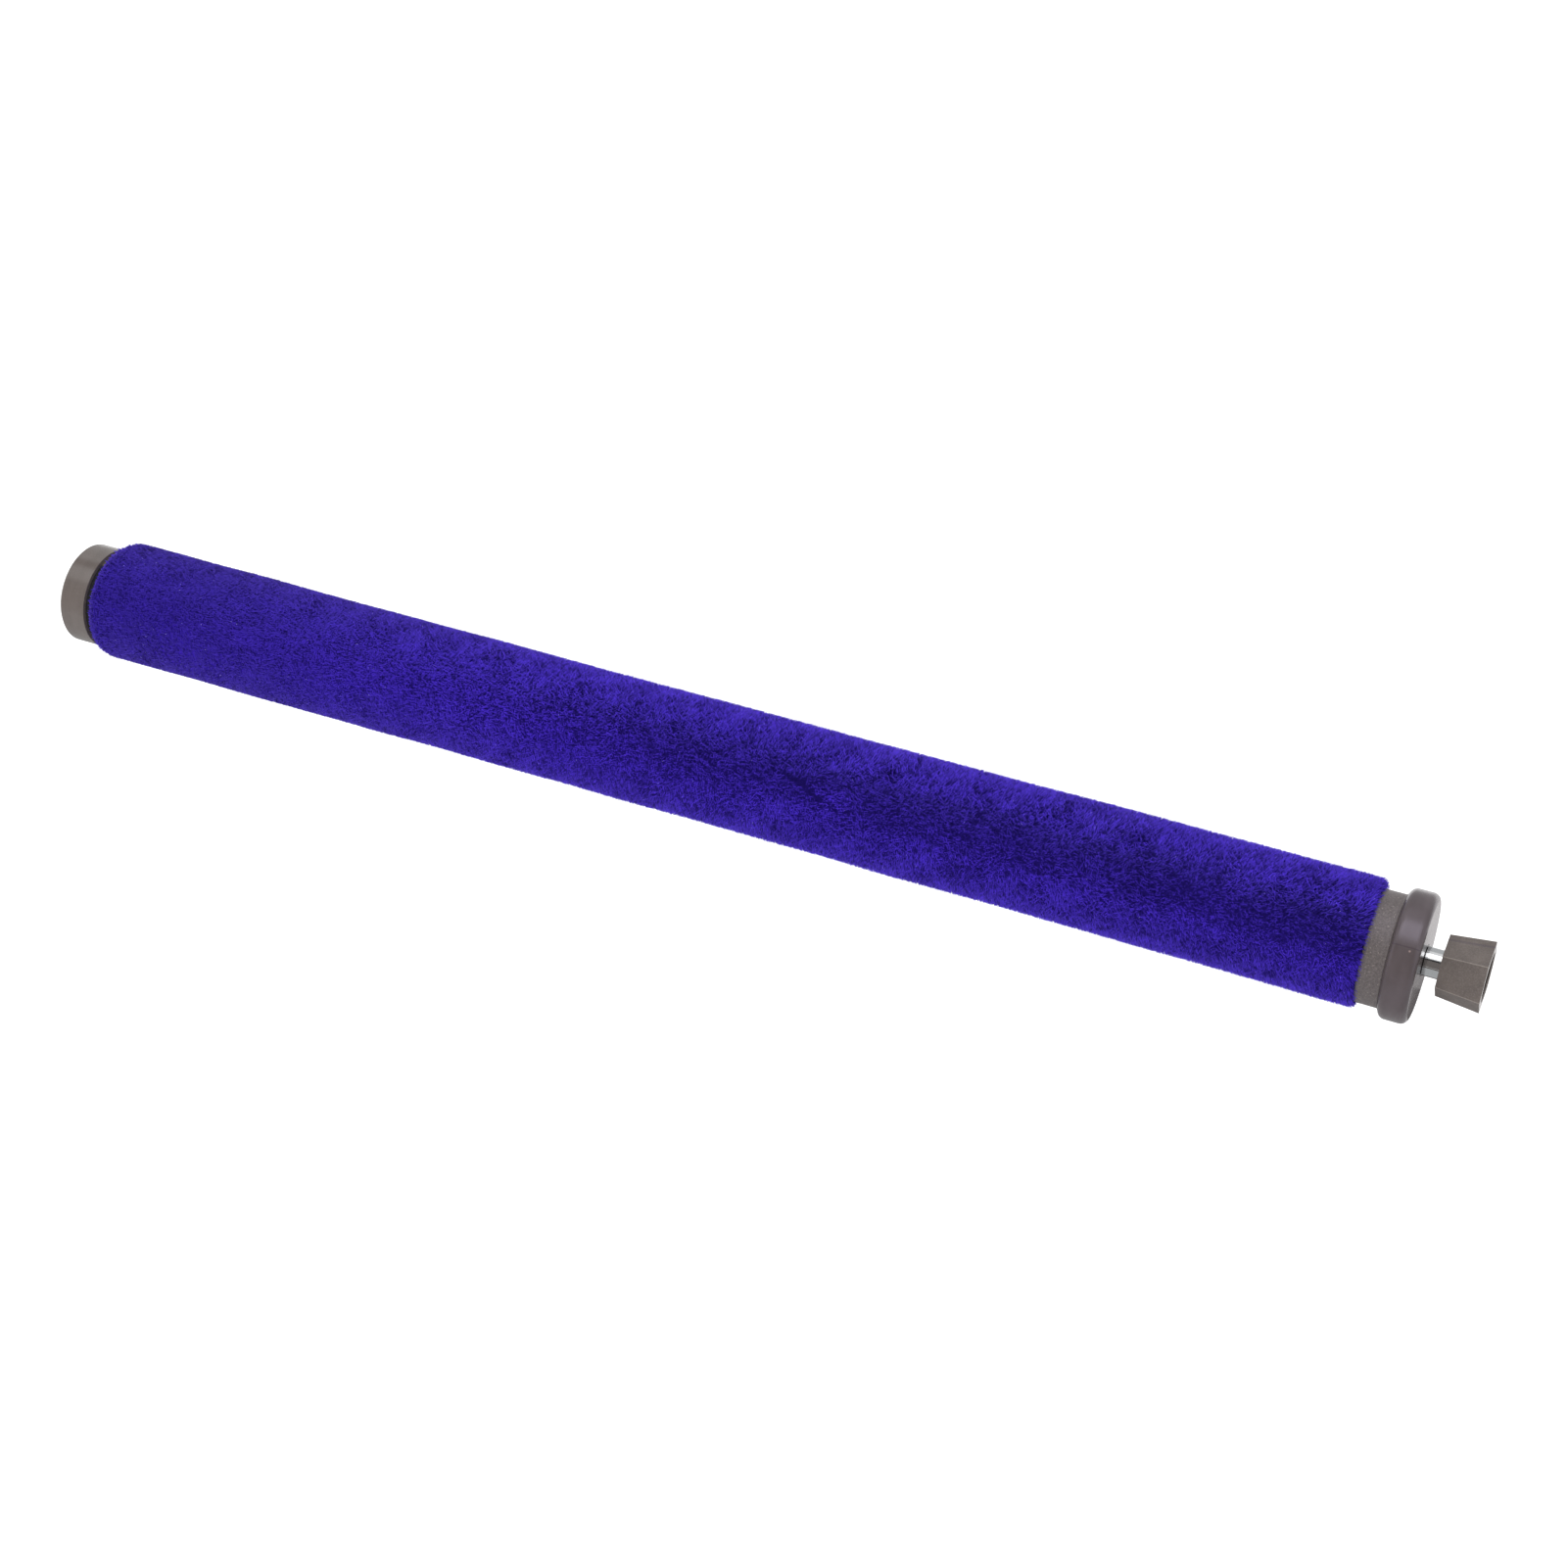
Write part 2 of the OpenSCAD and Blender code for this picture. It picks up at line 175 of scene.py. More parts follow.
class Finish:
    """A material in the making, with its one shader."""

    def __init__(self, name, roughness, **constants):
        self.material = bpy.data.materials.new(name)
        self.material.use_nodes = True
        self.tree = self.material.node_tree
        self.shader = self.tree.nodes["Principled BSDF"]
        self.shader.inputs["Roughness"].default_value = roughness
        for socket, value in constants.items():
            self.shader.inputs[socket.replace("_", " ")].default_value = value
        self.place = self.add("ShaderNodeTexCoord").outputs["Object"]

    def add(self, kind, settings=None, sockets=None):
        """A node of any type: its settings first, then the values or links of its sockets."""
        node = self.tree.nodes.new(kind)
        for key, value in (settings or {}).items():
            if key == "stops":
                self.set_stops(node.color_ramp, value)
            else:
                setattr(node, key, value)
        for key, value in (sockets or {}).items():
            self.feed(node, key, value)
        return node

    def set_stops(self, ramp, stops):
        while len(ramp.elements) < len(stops):
            ramp.elements.new(0.5)
        for element, (position, colour) in zip(ramp.elements, stops):
            element.position = position
            element.color = (*colour, 1.0)

    def feed(self, node, key, value):
        if isinstance(key, int):
            socket = node.inputs[key]
        else:
            socket = next(s for s in node.inputs if key in (s.identifier, s.name))
        if isinstance(value, Number):
            self.tree.links.new(value.socket, socket)
        elif isinstance(value, bpy.types.NodeSocket):
            self.tree.links.new(value, socket)
        elif isinstance(value, tuple) and len(value) == 3 and socket.type == "RGBA":
            socket.default_value = (*value, 1.0)
        else:
            socket.default_value = value

    def noise(self, size, detail=2.0, stretch=(1.0, 1.0, 1.0), roughness=0.5):
        """Noise with features of this size in metres, longer along an axis with a larger stretch."""
        scale = tuple(1.0 / (size * s) for s in stretch)
        spot = self.add("ShaderNodeMapping", {}, {"Vector": self.place, "Scale": scale})
        made = self.add(
            "ShaderNodeTexNoise",
            {},
            {"Vector": spot.outputs[0], "Scale": 1.0, "Detail": detail, "Roughness": roughness},
        )
        return Number(self, made.outputs[0])

    def along(self, axis):
        """The place along one axis, in metres."""
        split = self.add("ShaderNodeSeparateXYZ", {}, {"Vector": self.place})
        return Number(self, split.outputs[axis])

    def from_axis(self):
        """The distance from the roller's axis, in metres."""
        return (self.along("Y") ** 2 + self.along("Z") ** 2) ** 0.5

    def line_along(self, angle, half_width, softness):
        """1 on a line along the roller at this angle, and on the one across from it."""
        aside = self.along("Y") * math.sin(angle) - self.along("Z") * math.cos(angle)
        return 1 - (aside ** 2).above(half_width ** 2, softness ** 2)

    def band_along(self, angle, half_width, wander):
        """1 on a wandering band along the roller at this angle, and 0 beside and across from it."""
        outward = self.along("Y") * math.cos(angle) + self.along("Z") * math.sin(angle)
        drift = (self.noise(45 * MM, stretch=(1.0, 99.0, 99.0)) - 0.5) * (4 * wander)
        aside = self.along("Y") * math.sin(angle) - self.along("Z") * math.cos(angle) + drift
        inside = 1 - (aside ** 2).above(1.3 * half_width ** 2, 1.2 * half_width ** 2)
        return inside * outward.above(0.0, 1 * MM)

    def near(self, spot, reach, softness):
        """1 within this reach of a place, 0 beyond it."""
        gaps = [(self.along(axis) - place) ** 2 for axis, place in zip("XYZ", spot)]
        return 1 - ((gaps[0] + gaps[1] + gaps[2]) ** 0.5).above(reach, softness)

    def mix(self, factor, first, second):
        """A colour between two."""
        node = self.add(
            "ShaderNodeMix",
            {"data_type": "RGBA"},
            {"Factor_Float": factor, "A_Color": first, "B_Color": second},
        )
        return node.outputs["Result_Color"] if "Result_Color" in node.outputs else node.outputs[2]

    def colour(self, value):
        self.feed(self.shader, "Base Color", value)

    def bump(self, height, depth):
        """Relief of this depth in metres."""
        node = self.add("ShaderNodeBump", {}, {"Height": height, "Distance": depth, "Strength": 1.0})
        self.feed(self.shader, "Normal", node.outputs["Normal"])

    def vary_roughness(self, value):
        self.feed(self.shader, "Roughness", value)

    def shadow(self, share, colour):
        """Covers this share of the surface with painted shadow, a dull dark colour that has no sheen."""
        dull = self.add("ShaderNodeBsdfPrincipled", {}, {"Base Color": colour, "Roughness": 0.9})
        dull.inputs["Specular IOR Level"].default_value = 0.0
        both = {"Fac": share, 1: self.shader.outputs["BSDF"], 2: dull.outputs["BSDF"]}
        blend = self.add("ShaderNodeMixShader", {}, both)
        self.feed(self.tree.nodes["Material Output"], "Surface", blend.outputs["Shader"])


def dress(node, finish):
    """Gives a carried-over node its finish in every material slot."""
    mesh = frame["nodes"][node].data
    mesh.materials.clear()
    mesh.materials.append(finish.material)


# Finishes

def plush():
    """Violet-blue fibres with painted shade: near black towards the root, darker in a band where the pile faces the
    camera and on the lines where clumps meet; each tuft in a tone of its own.
    """
    finish = Finish("plush", 0.5, Sheen_Weight=0.75, Sheen_Roughness=0.6, Specular_IOR_Level=0.10)
    finish.shader.inputs["Sheen Tint"].default_value = (0.21, 0.13, 1.0, 1.0)
    strand = finish.add("ShaderNodeUVMap", {"uv_map": "strand"}).outputs["UV"]
    split = finish.add("ShaderNodeSeparateXYZ", {}, {"Vector": strand})
    shade = Number(finish, split.outputs["X"])
    up = Number(finish, split.outputs["Y"])
    along = finish.along("X") / SLEEVE_HIGH.x
    wide = finish.noise(7 * MM, detail=2.0, stretch=(2.4, 1.0, 1.0)).above(0.54, 0.14)
    small = finish.noise(2.4 * MM, detail=2.0, stretch=(1.5, 1.0, 1.0)).above(0.55, 0.12)
    broken = finish.noise(9 * MM, detail=2.0, stretch=(1.6, 1.0, 1.0)).above(0.40, 0.14)
    # painted shade: a dark band along the pile towards the neck, where it faces the camera, for velvet that looks
    # darker seen face-on
    painted_shade_band = finish.band_along(SHADE_BAND_ANGLE, 3.0 * MM, 1.6 * MM) * broken * along.above(0.42, 0.2)
    # patches of random tone together with the painted shade band
    patches_and_shade_band = (0.2 * wide + 0.15 * small + 0.7 * painted_shade_band) * (0.1 + along)
    depth = 0.8 * patches_and_shade_band + 0.25 * along
    grain = finish.noise(0.15 * MM, detail=2.0, stretch=(1.4, 1.0, 1.0), roughness=0.6)
    worn = along.above(0.25, 0.25)
    fibres = (grain - 0.5) * (0.3 + 1.0 * worn)
    uneven = 0.62 + (shade - 0.6) * (0.3 + 0.5 * worn) + fibres
    # painted shade: each fibre darkens towards its root, more deeply in the patches and the shade band, as the depths
    # of a pile lie in shade
    painted_root_shade = 0.60 * (1 - worn) + (0.40 + 0.60 * worn) * up ** (0.6 + 0.2 * worn + 1.4 * depth)
    faint = (1 - worn) * (0.06 * small + 0.05 * wide)
    level = 0.30 + 0.35 * worn * (1 + worn)
    lit = painted_root_shade * uneven * (level - 0.36 * patches_and_shade_band - faint)
    # the dark end of this mix is the colour of the painted shade at the roots
    body = finish.mix(lit, (0.012, 0.005, 0.15), (0.105, 0.036, 1.0))
    fleck = shade.above(0.998, 0.001) * up.above(0.8, 0.1)
    finish.colour(finish.mix(fleck * 0.7, body, (0.50, 0.45, 0.95)))
    # painted shadow on the lines where clumps meet and in the crease, wider in the patches and the painted shade band
    painted_gap_shadow = 1 - (shade - 0.09 * worn - 0.27 * patches_and_shade_band).above(0.22, 0.16)
    finish.shadow(painted_gap_shadow * (0.55 + 0.20 * worn), (0.010, 0.005, 0.10))
    return finish


def pile_mat():
    """The dense bottom of the pile, seen only between the tufts, near black as painted shade of the pile's depths and
    lighter towards the drive end.
    """
    finish = Finish("pile_mat", 0.9, Specular_IOR_Level=0.1)
    grain = finish.noise(0.4 * MM, detail=3.0)
    # painted shade: near black, as the bottom of the pile lies in shade
    painted_deep_shade = finish.mix(grain.above(0.5, 0.2), (0.012, 0.005, 0.12), (0.022, 0.009, 0.21))
    along = (finish.along("X") / SLEEVE_HIGH.x).above(0.3, 0.3)
    finish.colour(finish.mix(along, (0.040, 0.015, 0.40), painted_deep_shade))
    finish.bump(grain, 0.15 * MM)
    return finish


def smooth_taupe():
    """The drive end's moulding, smooth with a faint flow of colour."""
    finish = Finish("smooth_taupe", 0.26, Specular_IOR_Level=0.8)
    flow = finish.noise(5 * MM, detail=3.0, stretch=(0.5, 1.5, 1.5))
    finish.colour(finish.mix(flow.above(0.5, 0.25), (0.112, 0.093, 0.085), (0.136, 0.114, 0.105)))
    grain = finish.noise(0.12 * MM, detail=2.0)
    finish.vary_roughness(0.22 + 0.08 * grain)
    finish.bump(grain, 0.004 * MM)
    return finish


def eroded_taupe():
    """Neck with a spark-eroded grain, pale specks and painted shadow where the pile meets it, and a smoother flange
    with a cool sheen and a painted dark line where a reflection ends.
    """
    finish = Finish("eroded_taupe", 0.5, Specular_IOR_Level=0.5)
    finish.shader.inputs["Specular Tint"].default_value = (0.86, 0.80, 1.0, 1.0)
    on_neck = 1 - finish.along("X").above(FLANGE_BACK, 0.25 * MM)
    grain = finish.noise(0.26 * MM, detail=4.0, roughness=0.65)
    specks = finish.noise(0.32 * MM, detail=1.0).above(0.70, 0.03)
    flow = finish.noise(3.5 * MM, detail=2.0, stretch=(0.6, 1.2, 1.2)).above(0.5, 0.3)
    neck = finish.mix(grain.above(0.5, 0.25), (0.074, 0.063, 0.059), (0.140, 0.122, 0.116))
    neck = finish.mix(specks * 0.45, neck, (0.36, 0.31, 0.28))
    # painted shadow: the neck darkens next to the pile's end, where the pile shades it
    painted_contact_shadow = 1 - finish.along("X").above(SLEEVE_HIGH.x + 0.15 * MM, 0.15 * MM)
    neck = finish.mix(painted_contact_shadow * 0.75, neck, (0.02, 0.015, 0.03))
    flange = finish.mix(flow, (0.070, 0.056, 0.057), (0.086, 0.070, 0.073))
    # painted reflection: a dark line along the rim where the reflection of the softbox ends
    reflection_edge_line = finish.line_along(REFLECTION_EDGE_ANGLE, 0.09 * MM, 0.06 * MM)
    on_rim = finish.from_axis().above(CAP_HIGH.z - 0.5 * MM, 0.1 * MM)
    flange = finish.mix(reflection_edge_line * on_rim * 0.35, flange, (0.03, 0.02, 0.03))
    flange = finish.mix(finish.near(GATE_MARK, 0.14 * MM, 0.08 * MM) * 0.45, flange, (0.50, 0.36, 0.33))
    finish.colour(finish.mix(on_neck, flange, neck))
    finish.vary_roughness(0.24 + on_neck * 0.28)
    fine = finish.noise(0.10 * MM, detail=2.0)
    finish.bump(on_neck * grain + (1 - on_neck) * fine * 0.12, 0.035 * MM)
    return finish


def textured_taupe():
    """The hexagonal end, finely textured, with painted highlights on its corners, a painted dark reflection along its
    upper side and painted shade in its recess.
    """
    finish = Finish("textured_taupe", 0.55, Specular_IOR_Level=0.4)
    grain = finish.noise(0.24 * MM, detail=4.0, roughness=0.65)
    flow = finish.noise(2.2 * MM, detail=2.0).above(0.5, 0.3)
    body = finish.mix(flow, (0.090, 0.074, 0.068), (0.120, 0.099, 0.090))
    body = finish.mix(grain.above(0.56, 0.16) * 0.40, body, (0.185, 0.160, 0.150))
    # painted highlights: pale lines along the corners, where the rounded edges catch the light
    painted_edge_highlight = 0.0
    for angle in CORNER_ANGLES:
        painted_edge_highlight = painted_edge_highlight + finish.line_along(angle, 0.06 * MM, 0.10 * MM)
    body = finish.mix(painted_edge_highlight * (0.35 + 0.5 * grain), body, (0.33, 0.29, 0.26))
    # painted reflection: a dark bluish band along the hex's upper side
    painted_reflection_band = finish.line_along(REFLECTION_BAND_ANGLE, 0.22 * MM, 0.14 * MM) * finish.along("Z").above(0.0, 1 * MM)
    body = finish.mix(painted_reflection_band * 0.45, body, (0.060, 0.046, 0.062))
    # painted shade: the recess darkens to near black inside
    in_recess = 1 - finish.from_axis().above(RECESS_RADIUS + 0.05 * MM, 0.02 * MM)
    finish.colour(finish.mix(in_recess * 0.8, body, (0.03, 0.022, 0.018)))
    on_end = finish.along("X").above(HEX_HIGH.x - 0.03 * MM, 0.01 * MM)
    finish.vary_roughness(0.48 + 0.14 * grain + 0.35 * in_recess - 0.36 * on_end)
    finish.bump(grain, 0.030 * MM)
    return finish


def black_moulding(name, roughness, gloss=0.4):
    """Black plastic with a fine moulded grain."""
    finish = Finish(name, roughness, Specular_IOR_Level=gloss)
    grain = finish.noise(0.2 * MM, detail=3.0)
    finish.colour(finish.mix(grain.above(0.5, 0.3), (0.012, 0.012, 0.014), (0.028, 0.028, 0.031)))
    finish.bump(grain, 0.008 * MM)
    return finish


def turned_steel(name, colour, roughness, groove_radius=0.0, ring=0.03 * MM):
    """Steel with the fine rings of turning round the axis, and near black painted shade below this groove radius."""
    finish = Finish(name, roughness, Metallic=1.0)
    rings = finish.noise(ring, detail=2.0, stretch=(1.0, 400.0, 400.0))
    shade = tuple(0.82 * c for c in colour)
    bare = finish.mix(rings.above(0.5, 0.3) * 0.6, colour, shade)
    # painted shade: near black below the groove radius, for the shaded groove where the axle meets the flange
    in_groove = 1 - finish.from_axis().above(groove_radius, 0.03 * MM)
    finish.colour(finish.mix(in_groove, bare, (0.02, 0.02, 0.02)))
    finish.vary_roughness(roughness + 0.06 * rings + 0.4 * in_groove)
    finish.bump(rings, 0.0008 * MM)
    return finish


def pressed_brass():
    """The cages, pressed from sheet."""
    finish = Finish("pressed_brass", 0.35, Metallic=1.0)
    stain = finish.noise(1.2 * MM, detail=3.0).above(0.5, 0.3)
    finish.colour(finish.mix(stain, (0.60, 0.44, 0.20), (0.46, 0.33, 0.15)))
    finish.vary_roughness(0.28 + 0.15 * stain)
    return finish


# Pile

def waves(rng, count, longest, shortest):
    """Random smooth waves over the roller's surface, which close round it."""
    made = []
    for _ in range(count):
        length = math.exp(rng.uniform(math.log(shortest), math.log(longest)))
        heading = rng.uniform(0, 2 * math.pi)
        turns = int(round(2 * math.pi * PILE_RADIUS / length * math.sin(heading)))
        made.append((2 * math.pi / length * math.cos(heading), turns, rng.uniform(0, 2 * math.pi)))
    return made


def wave_sum(made, x, angle):
    """The sum of those waves, mostly between -1 and 1."""
    total = sum(np.sin(k * x + turns * angle + phase) for k, turns, phase in made)
    return total / math.sqrt(len(made))


def clump_grid(rng):
    """Chance values on a grid over the roller, one a clump, closed round it."""
    columns = int(1.02 * SLEEVE_HIGH.x / CLUMP_SIZE) + 2
    rows = int(2 * math.pi * PILE_RADIUS / CLUMP_SIZE)
    return rng.random((columns, rows))


def clump_share(x, angle):
    """1 in the clumps of tufts, down to 0 on the crooked lines where one meets the next."""
    rows = CLUMP_GRID.shape[1]
    across = x / CLUMP_SIZE
    around = angle / (2 * math.pi) % 1 * rows
    column = across.astype(int)
    row = around.astype(int) % rows
    beside = (row + 1) % rows
    u = across - column
    v = around - np.floor(around)
    u = u * u * (3 - 2 * u)
    v = v * v * (3 - 2 * v)
    low = CLUMP_GRID[column, row] * (1 - v) + CLUMP_GRID[column, beside] * v
    high = CLUMP_GRID[column + 1, row] * (1 - v) + CLUMP_GRID[column + 1, beside] * v
    value = low * (1 - u) + high * u
    return np.clip(np.abs(value - 0.5) / 0.25, 0, 1)


def off_crease(x, angle):
    """0 in the short crease that crosses the middle of the plush, 1 everywhere else."""
    place = np.interp(x, CREASE_ALONG, np.radians(CREASE_ANGLES), left=9, right=9)
    width = np.interp(x, CREASE_ALONG, (0.4 * MM, 0.9 * MM, 0.4 * MM))
    return np.clip(2 * np.abs(PILE_RADIUS * (angle - place)) / width - 1, 0, 1)


def pile_profile(x):
    """Radius over the tips along the roller: rounded at the drive end, turned in at the neck."""
    start = COLLAR_RADIUS - PILE_START_STEP
    rise = np.clip((x - SLEEVE_LOW.x) / PILE_ROUND_LENGTH, 0, 1)
    fall = np.clip((SLEEVE_HIGH.x - x) / PILE_TURN_LENGTH, 0, 1)
    left = start + (PILE_RADIUS - start) * np.sqrt(1 - (1 - rise) ** 2)
    right = start + (PILE_RADIUS - start) * np.sqrt(1 - (1 - fall) ** 2)
    return np.minimum(left, right)


def end_tilt(x):
    """How far the pile's tips turn from straight out towards the nearer end, minus at the drive end."""
    step = PILE_RADIUS - COLLAR_RADIUS + PILE_START_STEP
    rise = 1 - np.clip((x - SLEEVE_LOW.x) / PILE_ROUND_LENGTH, 0, 1)
    fall = 1 - np.clip((SLEEVE_HIGH.x - x) / PILE_TURN_LENGTH, 0, 1)
    to_start = np.arctan2(step * rise, PILE_ROUND_LENGTH * np.sqrt(1 - rise ** 2) + 0.1 * MM)
    to_end = np.arctan2(step * fall, PILE_TURN_LENGTH * np.sqrt(1 - fall ** 2) + 0.6 * MM)
    return 0.5 * to_end - to_start


def fullness(x):
    """0 where the pile's ends are drawn in, 1 between them."""
    return np.clip((pile_profile(x) - COLLAR_RADIUS) / (PILE_RADIUS - COLLAR_RADIUS), 0, 1)


def swell(x):
    """How much fuller the pile stands towards the drive end."""
    return END_SWELL * np.clip(1 - (x - SLEEVE_LOW.x) / END_SWELL_LENGTH, 0, 1)


def calmness(x):
    """1 at the drive end, where the pile lies smooth, 0 from the middle on, where it is ruffled."""
    return np.interp(x, (0.12 * SLEEVE_HIGH.x, 0.5 * SLEEVE_HIGH.x), (1.0, 0.0))


def mat_depth(x):
    """Depth of the mat under the tips."""
    return MAT_DEPTH - calmness(x) * MAT_RISE


def mat_radius(x):
    """Radius of the mat along the roller."""
    return pile_profile(x) + fullness(x) * swell(x) - mat_depth(x)


def tip_radius(x, angle):
    """Radius of the pile's tips, fuller on the side that the pile is brushed up on."""
    lift = PILE_LIFT * np.cos(angle - PILE_LIFT_ANGLE) + swell(x)
    return pile_profile(x) + fullness(x) * (lift + 0.05 * MM * wave_sum(SWELLS, x, angle))


def pick_faces(piece, test):
    """Selects the faces whose middle passes a test."""
    bpy.ops.object.mode_set(mode="OBJECT")
    for thing in (*piece.data.vertices, *piece.data.edges):
        thing.select = False
    for face in piece.data.polygons:
        face.select = bool(test(face))
    bpy.ops.object.mode_set(mode="EDIT")
    bpy.ops.mesh.select_mode(type="FACE")


def draw_end(along, scale):
    """Extrudes the picked end along the roller and resizes it round the axis."""
    bpy.ops.mesh.extrude_region_move(TRANSFORM_OT_translate={"value": (along, 0, 0)})
    bpy.ops.transform.resize(value=(1, scale, scale), center_override=(0, 0, 0))


def pile_mat_piece():
    """The sleeve under the tips: backing and the dense bottom of the pile, bored for the tube."""
    middle = 0.6 * SLEEVE_HIGH.x
    stop = SLEEVE_HIGH.x - PILE_TURN_LENGTH
    deselect_all()
    bpy.ops.mesh.primitive_cylinder_add(
        vertices=96, radius=mat_radius(middle), depth=stop - middle,
        location=(0.5 * (middle + stop), 0, 0), rotation=(0, math.radians(90), 0))
    piece = bpy.context.active_object
    piece.name = "pile_mat"
    bpy.ops.object.transform_apply(location=True, rotation=True, scale=True)
    start = SLEEVE_LOW.x + PILE_ROUND_LENGTH
    to_start = [middle + (start - middle) * step / 8 for step in range(1, 9)]
    to_start += [start - PILE_ROUND_LENGTH * math.sin(0.5 * math.pi * step / 6) for step in range(1, 7)]
    to_end = [stop + PILE_TURN_LENGTH * math.sin(0.5 * math.pi * step / 6) for step in range(1, 7)]
    for place, stations, way in ((middle, to_start, -1), (stop, to_end, 1)):
        pick_faces(piece, lambda face: face.normal.x * way > 0.9)
        radius = mat_radius(middle)
        for station in stations:
            next_radius = max(float(mat_radius(station - way * 0.1 * 0.001 * MM)), TUBE_RADIUS + 0.2 * MM)
            draw_end(station - place, next_radius / radius)
            place = station
            radius = next_radius
    pick_faces(piece, lambda face: abs(face.normal.x) > 0.99 and len(face.vertices) > 4)
    bpy.ops.mesh.inset(thickness=0.2 * MM, use_individual=True)
    bpy.ops.mesh.bridge_edge_loops()
    bpy.ops.mesh.select_all(action="SELECT")
    bpy.ops.mesh.normals_make_consistent(inside=False)
    bpy.ops.object.mode_set(mode="OBJECT")
    bpy.ops.object.shade_smooth_by_angle(angle=math.radians(40))
    piece.data.materials.append(pile_mat().material)
    return piece


def tuft_pattern():
    """One tuft, root at 0 and tip at 1 up Z, about 1 across: points and triangles."""
    deselect_all()
    bpy.ops.mesh.primitive_cone_add(
        vertices=3, radius1=0.5, radius2=0.0, depth=1.0, location=(0, 0, 0.5), end_fill_type="NGON")
    tuft = bpy.context.active_object
    bpy.ops.object.transform_apply(location=True, rotation=True, scale=True)
    bpy.ops.object.mode_set(mode="EDIT")
    bpy.ops.mesh.select_all(action="SELECT")
    bpy.ops.mesh.normals_make_consistent(inside=False)
    bpy.ops.mesh.quads_convert_to_tris()
    bpy.ops.object.mode_set(mode="OBJECT")
    points = np.array([vertex.co for vertex in tuft.data.vertices])
    faces = np.array([tuple(face.vertices) for face in tuft.data.polygons])
    bpy.data.objects.remove(tuft)
    return points, faces


def tuft_roots(rng):
    """Places of the tufts: an even but unruled spread over the roller."""
    length = SLEEVE_HIGH.x - SLEEVE_LOW.x
    columns = int(length / TUFT_SPACING)
    rows = int(2 * math.pi * PILE_RADIUS / TUFT_SPACING)
    column, row = np.meshgrid(np.arange(columns), np.arange(rows), indexing="ij")
    column = column.ravel() + 0.5
    row = row.ravel() + 0.5 * (column % 2)
    x = SLEEVE_LOW.x + (column + TUFT_JITTER * rng.uniform(-1, 1, column.size)) * length / columns
    share = np.clip((x - SLEEVE_LOW.x) / PILE_ROUND_LENGTH, 0, 1)
    crowded = SLEEVE_LOW.x + PILE_ROUND_LENGTH * (1 - np.cos(0.5 * math.pi * share))
    x = np.where(share < 1, 0.5 * (x + crowded), x)
    angle = (row + TUFT_JITTER * rng.uniform(-1, 1, row.size)) * 2 * math.pi / rows
    return x, angle


